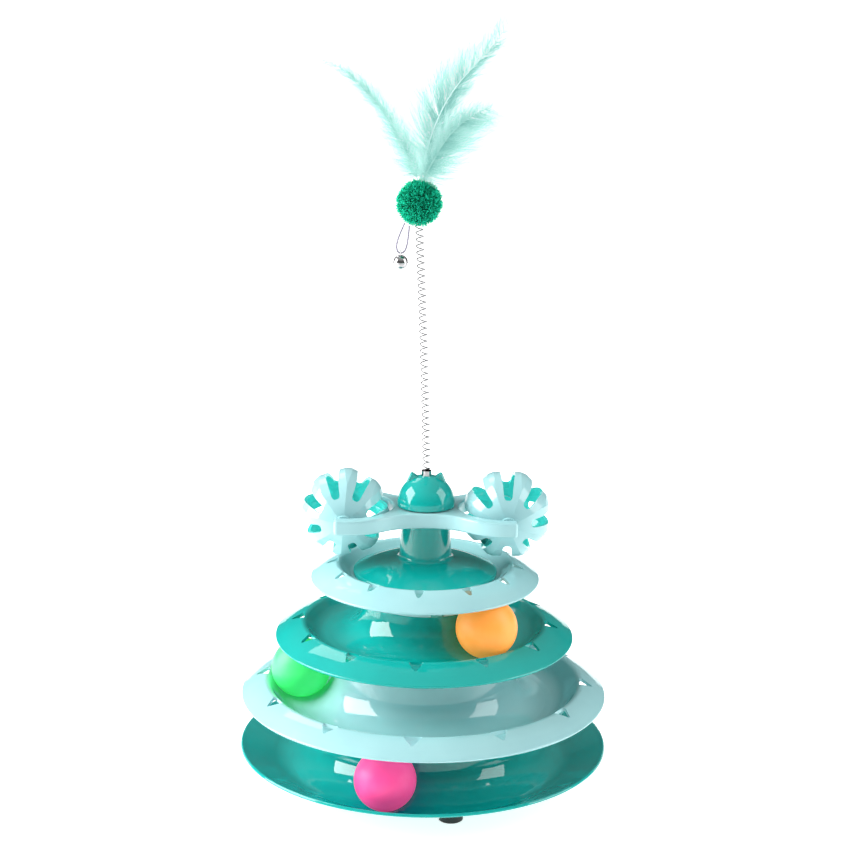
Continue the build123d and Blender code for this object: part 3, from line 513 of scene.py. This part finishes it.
plus, less, times = plume_sum("ADD"), plume_sum("SUBTRACT"), plume_sum("MULTIPLY")
quill_line = add_node(plume_tree, "GeometryNodeResampleCurve", {
    "Curve": given["Geometry"], "Count": 48,
}).outputs["Curve"]
quill_share = plume_tree.nodes.new("GeometryNodeSplineParameter").outputs["Factor"]
quill_thin = less(1.0, times(quill_share, 0.75))
quill = tapered(quill_line, 6, times(quill_thin, given["Quill radius"]), caps=True)
for name in ("shade", "along"):
    quill = marked(plume_tree, quill, name, given["Quill tone"], "POINT")

vane_line = add_node(plume_tree, "GeometryNodeTrimCurve", {
    "Curve": quill_line, "Start": given["Bare foot"], "End": 1.0,
}).outputs["Curve"]
rows = add_node(plume_tree, "GeometryNodeCurveToPoints", {
    "Curve": vane_line, "Count": given["Barbs"],
}, mode="COUNT").outputs
row_number = plume_tree.nodes.new("GeometryNodeInputIndex").outputs["Index"]
row_share = maths(plume_tree, "DIVIDE", row_number, given["Barbs"])
numbered = marked(plume_tree, rows["Points"], "row", row_share, "POINT")
row = kept_on_curve("row")
lock_drift = add_node(plume_tree, "ShaderNodeTexNoise", {
    "W": times(row, 14.0), "Scale": 1.0,
}, noise_dimensions="1D").outputs["Fac"]
lock_step = plus(times(row, given["Locks"]), times(lock_drift, 3.0))
lock = maths(plume_tree, "FLOOR", lock_step)
in_lock = less(maths(plume_tree, "FRACT", lock_step), 0.5)
downy = between(plume_tree, row, 0.0, 0.25, 1.0, 0.0)
kept = between(plume_tree, row, given["Thin from"], 1.0, 1.0, 0.12)
reach_along = along_quill(row, [
    (0.0, 0.72), (0.08, 0.95), (0.3, 1.0), (0.55, 0.85), (0.75, 0.66), (0.92, 0.5), (1.0, 0.36),
])
quill_turn = add_node(plume_tree, "FunctionNodeAlignRotationToVector", {
    "Vector": rows["Tangent"],
}, axis="X").outputs["Rotation"]
flat_vane = add_node(plume_tree, "FunctionNodeAlignRotationToVector", {
    "Rotation": quill_turn, "Vector": (0.0, -1.0, 0.0),
}, axis="Z", pivot_axis="X").outputs["Rotation"]
vanes = []
for side, name, seed_step in ((1.0, "Left", 0.0), (-1.0, "Right", 50.0)):
    seed = plus(given["Seed"], seed_step)
    lock_seed = plus(seed, 20.0)
    lost = maths(plume_tree, "GREATER_THAN", chance(plume_tree, 0.0, 1.0, seed), kept)
    thinned = add_node(plume_tree, "GeometryNodeDeleteGeometry", {
        "Geometry": numbered, "Selection": lost,
    }, domain="POINT").outputs["Geometry"]
    barb = add_node(plume_tree, "GeometryNodeCurveQuadraticBezier", {
        "Resolution": 7, "Start": (0.0, 0.0, 0.0),
        "Middle": (0.48, 0.56 * side, 0.0), "End": (1.3, 0.78 * side, 0.0),
    }).outputs["Curve"]
    own_stray = chance(plume_tree, -0.28, 0.28, plus(seed, 1.0))
    lock_stray = chance(plume_tree, -0.14, 0.14, lock_seed, lock)
    meet = plus(times(in_lock, 0.16), plus(own_stray, lock_stray))
    fan = plus(given[name + " fan"], times(downy, 0.75))
    yaw = times(plus(meet, fan), side)
    twist_room = plus(given["Looseness"], times(downy, 0.9))
    twist = times(chance(plume_tree, -1.0, 1.0, plus(seed, 2.0)), twist_room)
    turn = add_node(plume_tree, "ShaderNodeCombineXYZ", {"X": less(twist, 0.3 * side), "Z": yaw})
    turned_row = add_node(plume_tree, "FunctionNodeRotateRotation", {
        "Rotation": flat_vane, "Rotate By": turn.outputs["Vector"],
    }, rotation_space="LOCAL").outputs["Rotation"]
    own_size = chance(plume_tree, 0.35, 1.08, plus(seed, 3.0))
    lock_size = chance(plume_tree, 0.8, 1.15, plus(lock_seed, 1.0), lock)
    size = times(times(own_size, lock_size), times(reach_along, given[name + " reach"]))
    barbs = add_node(plume_tree, "GeometryNodeInstanceOnPoints", {
        "Points": thinned, "Instance": barb, "Rotation": turned_row, "Scale": size,
    }).outputs["Instances"]
    own_tone = chance(plume_tree, 0.1, 0.6, plus(seed, 4.0))
    lock_tone = chance(plume_tree, 0.05, 0.45, plus(lock_seed, 2.0), lock)
    tone = times(plus(own_tone, lock_tone), given[name + " tone"])
    own_thick = maths(plume_tree, "POWER", chance(plume_tree, 0.0, 1.0, plus(seed, 5.0)), 4.0)
    toned = marked(plume_tree, barbs, "shade", tone, "INSTANCE")
    thick = marked(plume_tree, toned, "thick", graded(plume_tree, own_thick, 0.7, 3.0), "INSTANCE")
    real_barbs = add_node(plume_tree, "GeometryNodeRealizeInstances", {"Geometry": thick})
    vanes.append(real_barbs.outputs["Geometry"])
barb_share = plume_tree.nodes.new("GeometryNodeSplineParameter").outputs["Factor"]
barb_place = plume_tree.nodes.new("GeometryNodeInputPosition").outputs["Position"]
vane = joined(plume_tree, *vanes)
for eddies, drift in ((110.0, 0.008), (420.0, 0.003)):
    vane = swirled(plume_tree, vane, barb_place, eddies, detail=2.0, amount=times(barb_share, drift))
barb_thin = times(less(1.0, times(barb_share, 0.6)), kept_on_curve("thick"))
vane = marked(plume_tree, vane, "along", barb_share, "POINT")
vane_mesh = tapered(vane, 3, times(barb_thin, given["Barb radius"]), caps=False)
end_tree(plume_tree, plume_out, joined(plume_tree, quill, vane_mesh), feather_mint)


def smooth_line(name, route, order, steps):
    """A smooth curve along a route in millimetres, from its first point to its last."""
    line = bpy.data.curves.new(name, "CURVE")
    line.dimensions = "3D"
    line.resolution_u = steps
    spline = line.splines.new("NURBS")
    spline.points.add(len(route) - 1)
    for point, (x, y, z) in zip(spline.points, route):
        point.co = (x / 1000, y / 1000, z / 1000, 1.0)
    spline.order_u = order
    spline.use_endpoint_u = True
    return line


plumes = {
    "feather_left": ([
        (-7.0, 0.0, 405.0), (-9.6, 0.0, 411.0), (-17.3, -0.5, 428.0), (-25.1, -1.0, 443.8), (-35.1, -1.0, 458.2),
        (-45.0, -0.5, 467.5), (-54.6, 0.0, 476.2), (-64.1, 0.0, 481.7), (-71.0, 0.0, 482.8),
    ], {
        "Barbs": 1700, "Locks": 26.0, "Left reach": 0.0135, "Right reach": 0.0135, "Thin from": 0.6,
        "Looseness": 0.9, "Quill tone": 0.5, "Quill radius": 0.0004, "Seed": 101,
    }),
    "feather_tall": ([
        (-7.0, 1.6, 405.0), (-5.6, 1.6, 411.0), (-3.4, 1.6, 424.0), (0.3, 1.6, 438.1), (9.7, 1.6, 460.5),
        (25.1, 1.6, 479.6), (41.4, 1.6, 494.9), (48.0, 1.6, 508.5),
    ], {
        "Barbs": 2200, "Locks": 24.0, "Left reach": 0.031, "Right reach": 0.0155, "Left fan": 0.08,
        "Thin from": 0.42, "Looseness": 0.5, "Right tone": 0.35, "Quill tone": 1.0, "Seed": 201,
    }),
    "feather_short": ([
        (-7.0, -1.6, 405.0), (-3.2, -1.6, 411.0), (3.4, -1.6, 424.0), (9.6, -1.6, 434.5), (18.9, -1.6, 445.0),
        (30.0, -1.6, 452.2), (39.0, -1.6, 455.0),
    ], {
        "Barbs": 2000, "Locks": 20.0, "Left reach": 0.015, "Right reach": 0.025, "Right fan": 0.25,
        "Thin from": 0.6, "Looseness": 0.8, "Quill tone": 0.5, "Quill radius": 0.0004, "Seed": 301,
    }),
}
for name, (route, sizes) in plumes.items():
    quill_route = smooth_line(name + "_line", route, order=4, steps=8)
    feather = grown(name + "_plume", plume_tree, sizes, bpy.data.objects.new(name + "_line", quill_route))
    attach(feather, "pompom_head")
    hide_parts(name)


# Bell cord. Loop of thin lilac-grey elastic, sewn into the pompom at both ends, that carries the
# small nickel bell by its eye.
cord_elastic, cord_tree, cord_shader, cord_place = new_finish("cord_elastic")
cord_fleck = share(cord_tree, cloud(cord_tree, cord_place, per_metre=1400.0, detail=2.0), 0.35, 0.65)
feed(cord_tree, cord_shader, {
    "Base Color": two_tone(cord_tree, cord_fleck, (0.19, 0.175, 0.26), (0.32, 0.30, 0.40)),
    "Roughness": 0.5,
})
cord_weave = cloud(cord_tree, cord_place, per_metre=2600.0, detail=2.0)
relief(cord_tree, cord_shader, cord_weave, strength=0.3, depth=0.0001)

cord_route = [
    (-16.3, -3.0, 380.054), (-21.6, -3.0, 368.6), (-21.1, -3.0, 360.7),
    (-16.1, -3.0, 360.7), (-13.9, -3.0, 368.6), (-13.3, -3.0, 378.369),
]
cord_line = smooth_line("bell_cord_loop", cord_route, order=3, steps=12)
cord_line.bevel_depth = 0.0005
cord_line.bevel_resolution = 4
cord_line.use_fill_caps = True
cord_line.materials.append(cord_elastic)
bell_loop = bpy.data.objects.new("bell_cord_loop", cord_line)
bpy.context.scene.collection.objects.link(bell_loop)
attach(bell_loop, "cord_loop")
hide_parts("bell_cord")


# Studio. Pale seamless floor that glows like a light table under and behind the toy and far out,
# a bright softbox on the left, a weaker one on the right and a small one behind in a dim room.
pale_floor, floor_tree, floor_shader, floor_place = new_finish("pale_floor")
floor_axes = add_node(floor_tree, "ShaderNodeSeparateXYZ", {"Vector": floor_place}).outputs
near_glow = between(floor_tree, floor_axes["Y"], -0.5, -0.13, 0.0, 0.6)
far_glow = between(floor_tree, floor_axes["Y"], 0.1, 1.2, 0.0, 0.3)
sweep_half = between(floor_tree, floor_axes["Y"], -0.3, 29.7, 0.34, 9.0)
over_side = maths(floor_tree, "SUBTRACT", maths(floor_tree, "ABSOLUTE", floor_axes["X"]), sweep_half)
side_fade = between(floor_tree, over_side, 0.0, 1.6, 1.0, 0.0)
sweep_light = maths(floor_tree, "MULTIPLY", maths(floor_tree, "ADD", near_glow, far_glow), side_fade)
outer_light = between(floor_tree, vector_maths(floor_tree, "LENGTH", floor_place), 1.1, 2.2, 0.0, 0.6)
floor_light = maths(floor_tree, "ADD", maths(floor_tree, "MAXIMUM", sweep_light, outer_light), 0.2)
floor_mottle = cloud(floor_tree, floor_place, per_metre=3.0)
feed(floor_tree, floor_shader, {
    "Base Color": two_tone(floor_tree, floor_mottle, (0.86, 0.87, 0.87), (0.88, 0.88, 0.88)),
    "Roughness": 0.7,
    "Emission Color": (1.0, 1.0, 1.0, 1.0),
    "Emission Strength": floor_light,
})
floor_half = 30.0
floor_corners = [(x * floor_half, y * floor_half, 0.0) for x, y in ((-1, -1), (1, -1), (1, 1), (-1, 1))]
floor_mesh = bpy.data.meshes.new("floor")
floor_mesh.from_pydata(floor_corners, [], [(0, 1, 2, 3)])
floor_mesh.materials.append(pale_floor)
floor = bpy.data.objects.new("floor", floor_mesh)
bpy.context.scene.collection.objects.link(floor)

lit_place = Vector((0.0, 0.0, 0.12))
for name, azimuth, elevation, distance, wide, tall, power in (
    ("softbox_left", -86.0, 25.0, 1.25, 0.95, 1.05, 28.0),
    ("softbox_right", 82.0, 26.0, 1.3, 0.75, 1.15, 10.0),
    ("softbox_back", -148.0, 47.0, 1.5, 0.5, 0.5, 2.0),
):
    lamp = bpy.data.lights.new(name, "AREA")
    lamp.shape = "RECTANGLE"
    lamp.size, lamp.size_y = wide, tall
    lamp.energy = power
    turn, rise = math.radians(azimuth), math.radians(elevation)
    away = Vector((math.sin(turn) * math.cos(rise), -math.cos(turn) * math.cos(rise), math.sin(rise)))
    softbox = bpy.data.objects.new(name, lamp)
    softbox.location = lit_place + away * distance
    softbox.rotation_euler = away.to_track_quat("Z", "Y").to_euler()
    bpy.context.scene.collection.objects.link(softbox)

room = bpy.data.worlds.new("room")
bpy.context.scene.world = room
room.use_nodes = True
room_tree = room.node_tree
room_way = add_node(room_tree, "ShaderNodeTexCoord").outputs["Generated"]
room_height = add_node(room_tree, "ShaderNodeSeparateXYZ", {"Vector": room_way}).outputs["Z"]
feed(room_tree, room_tree.nodes["Background"], {
    "Color": (1.0, 1.0, 1.0, 1.0),
    "Strength": between(room_tree, room_height, 0.25, 0.85, 0.10, 0.6),
})
bpy.context.scene.view_settings.view_transform = "Standard"

camera_lens = bpy.data.cameras.new("camera")
camera_lens.sensor_width = 36.0
camera_lens.lens = 84.7
camera = bpy.data.objects.new("camera", camera_lens)
pitch, roll = math.radians(13.89), math.radians(0.79)
ahead = Vector((0.0, math.cos(pitch), -math.sin(pitch)))
level_up = Vector((0.0, math.sin(pitch), math.cos(pitch)))
level_right = Vector((1.0, 0.0, 0.0))
right = level_right * math.cos(roll) + level_up * math.sin(roll)
upward = level_up * math.cos(roll) - level_right * math.sin(roll)
stand = Matrix((right, upward, -ahead)).transposed().to_4x4()
stand.translation = Vector((-0.0014, -1.285, 0.5634))
camera.matrix_world = stand
bpy.context.scene.collection.objects.link(camera)
bpy.context.scene.camera = camera
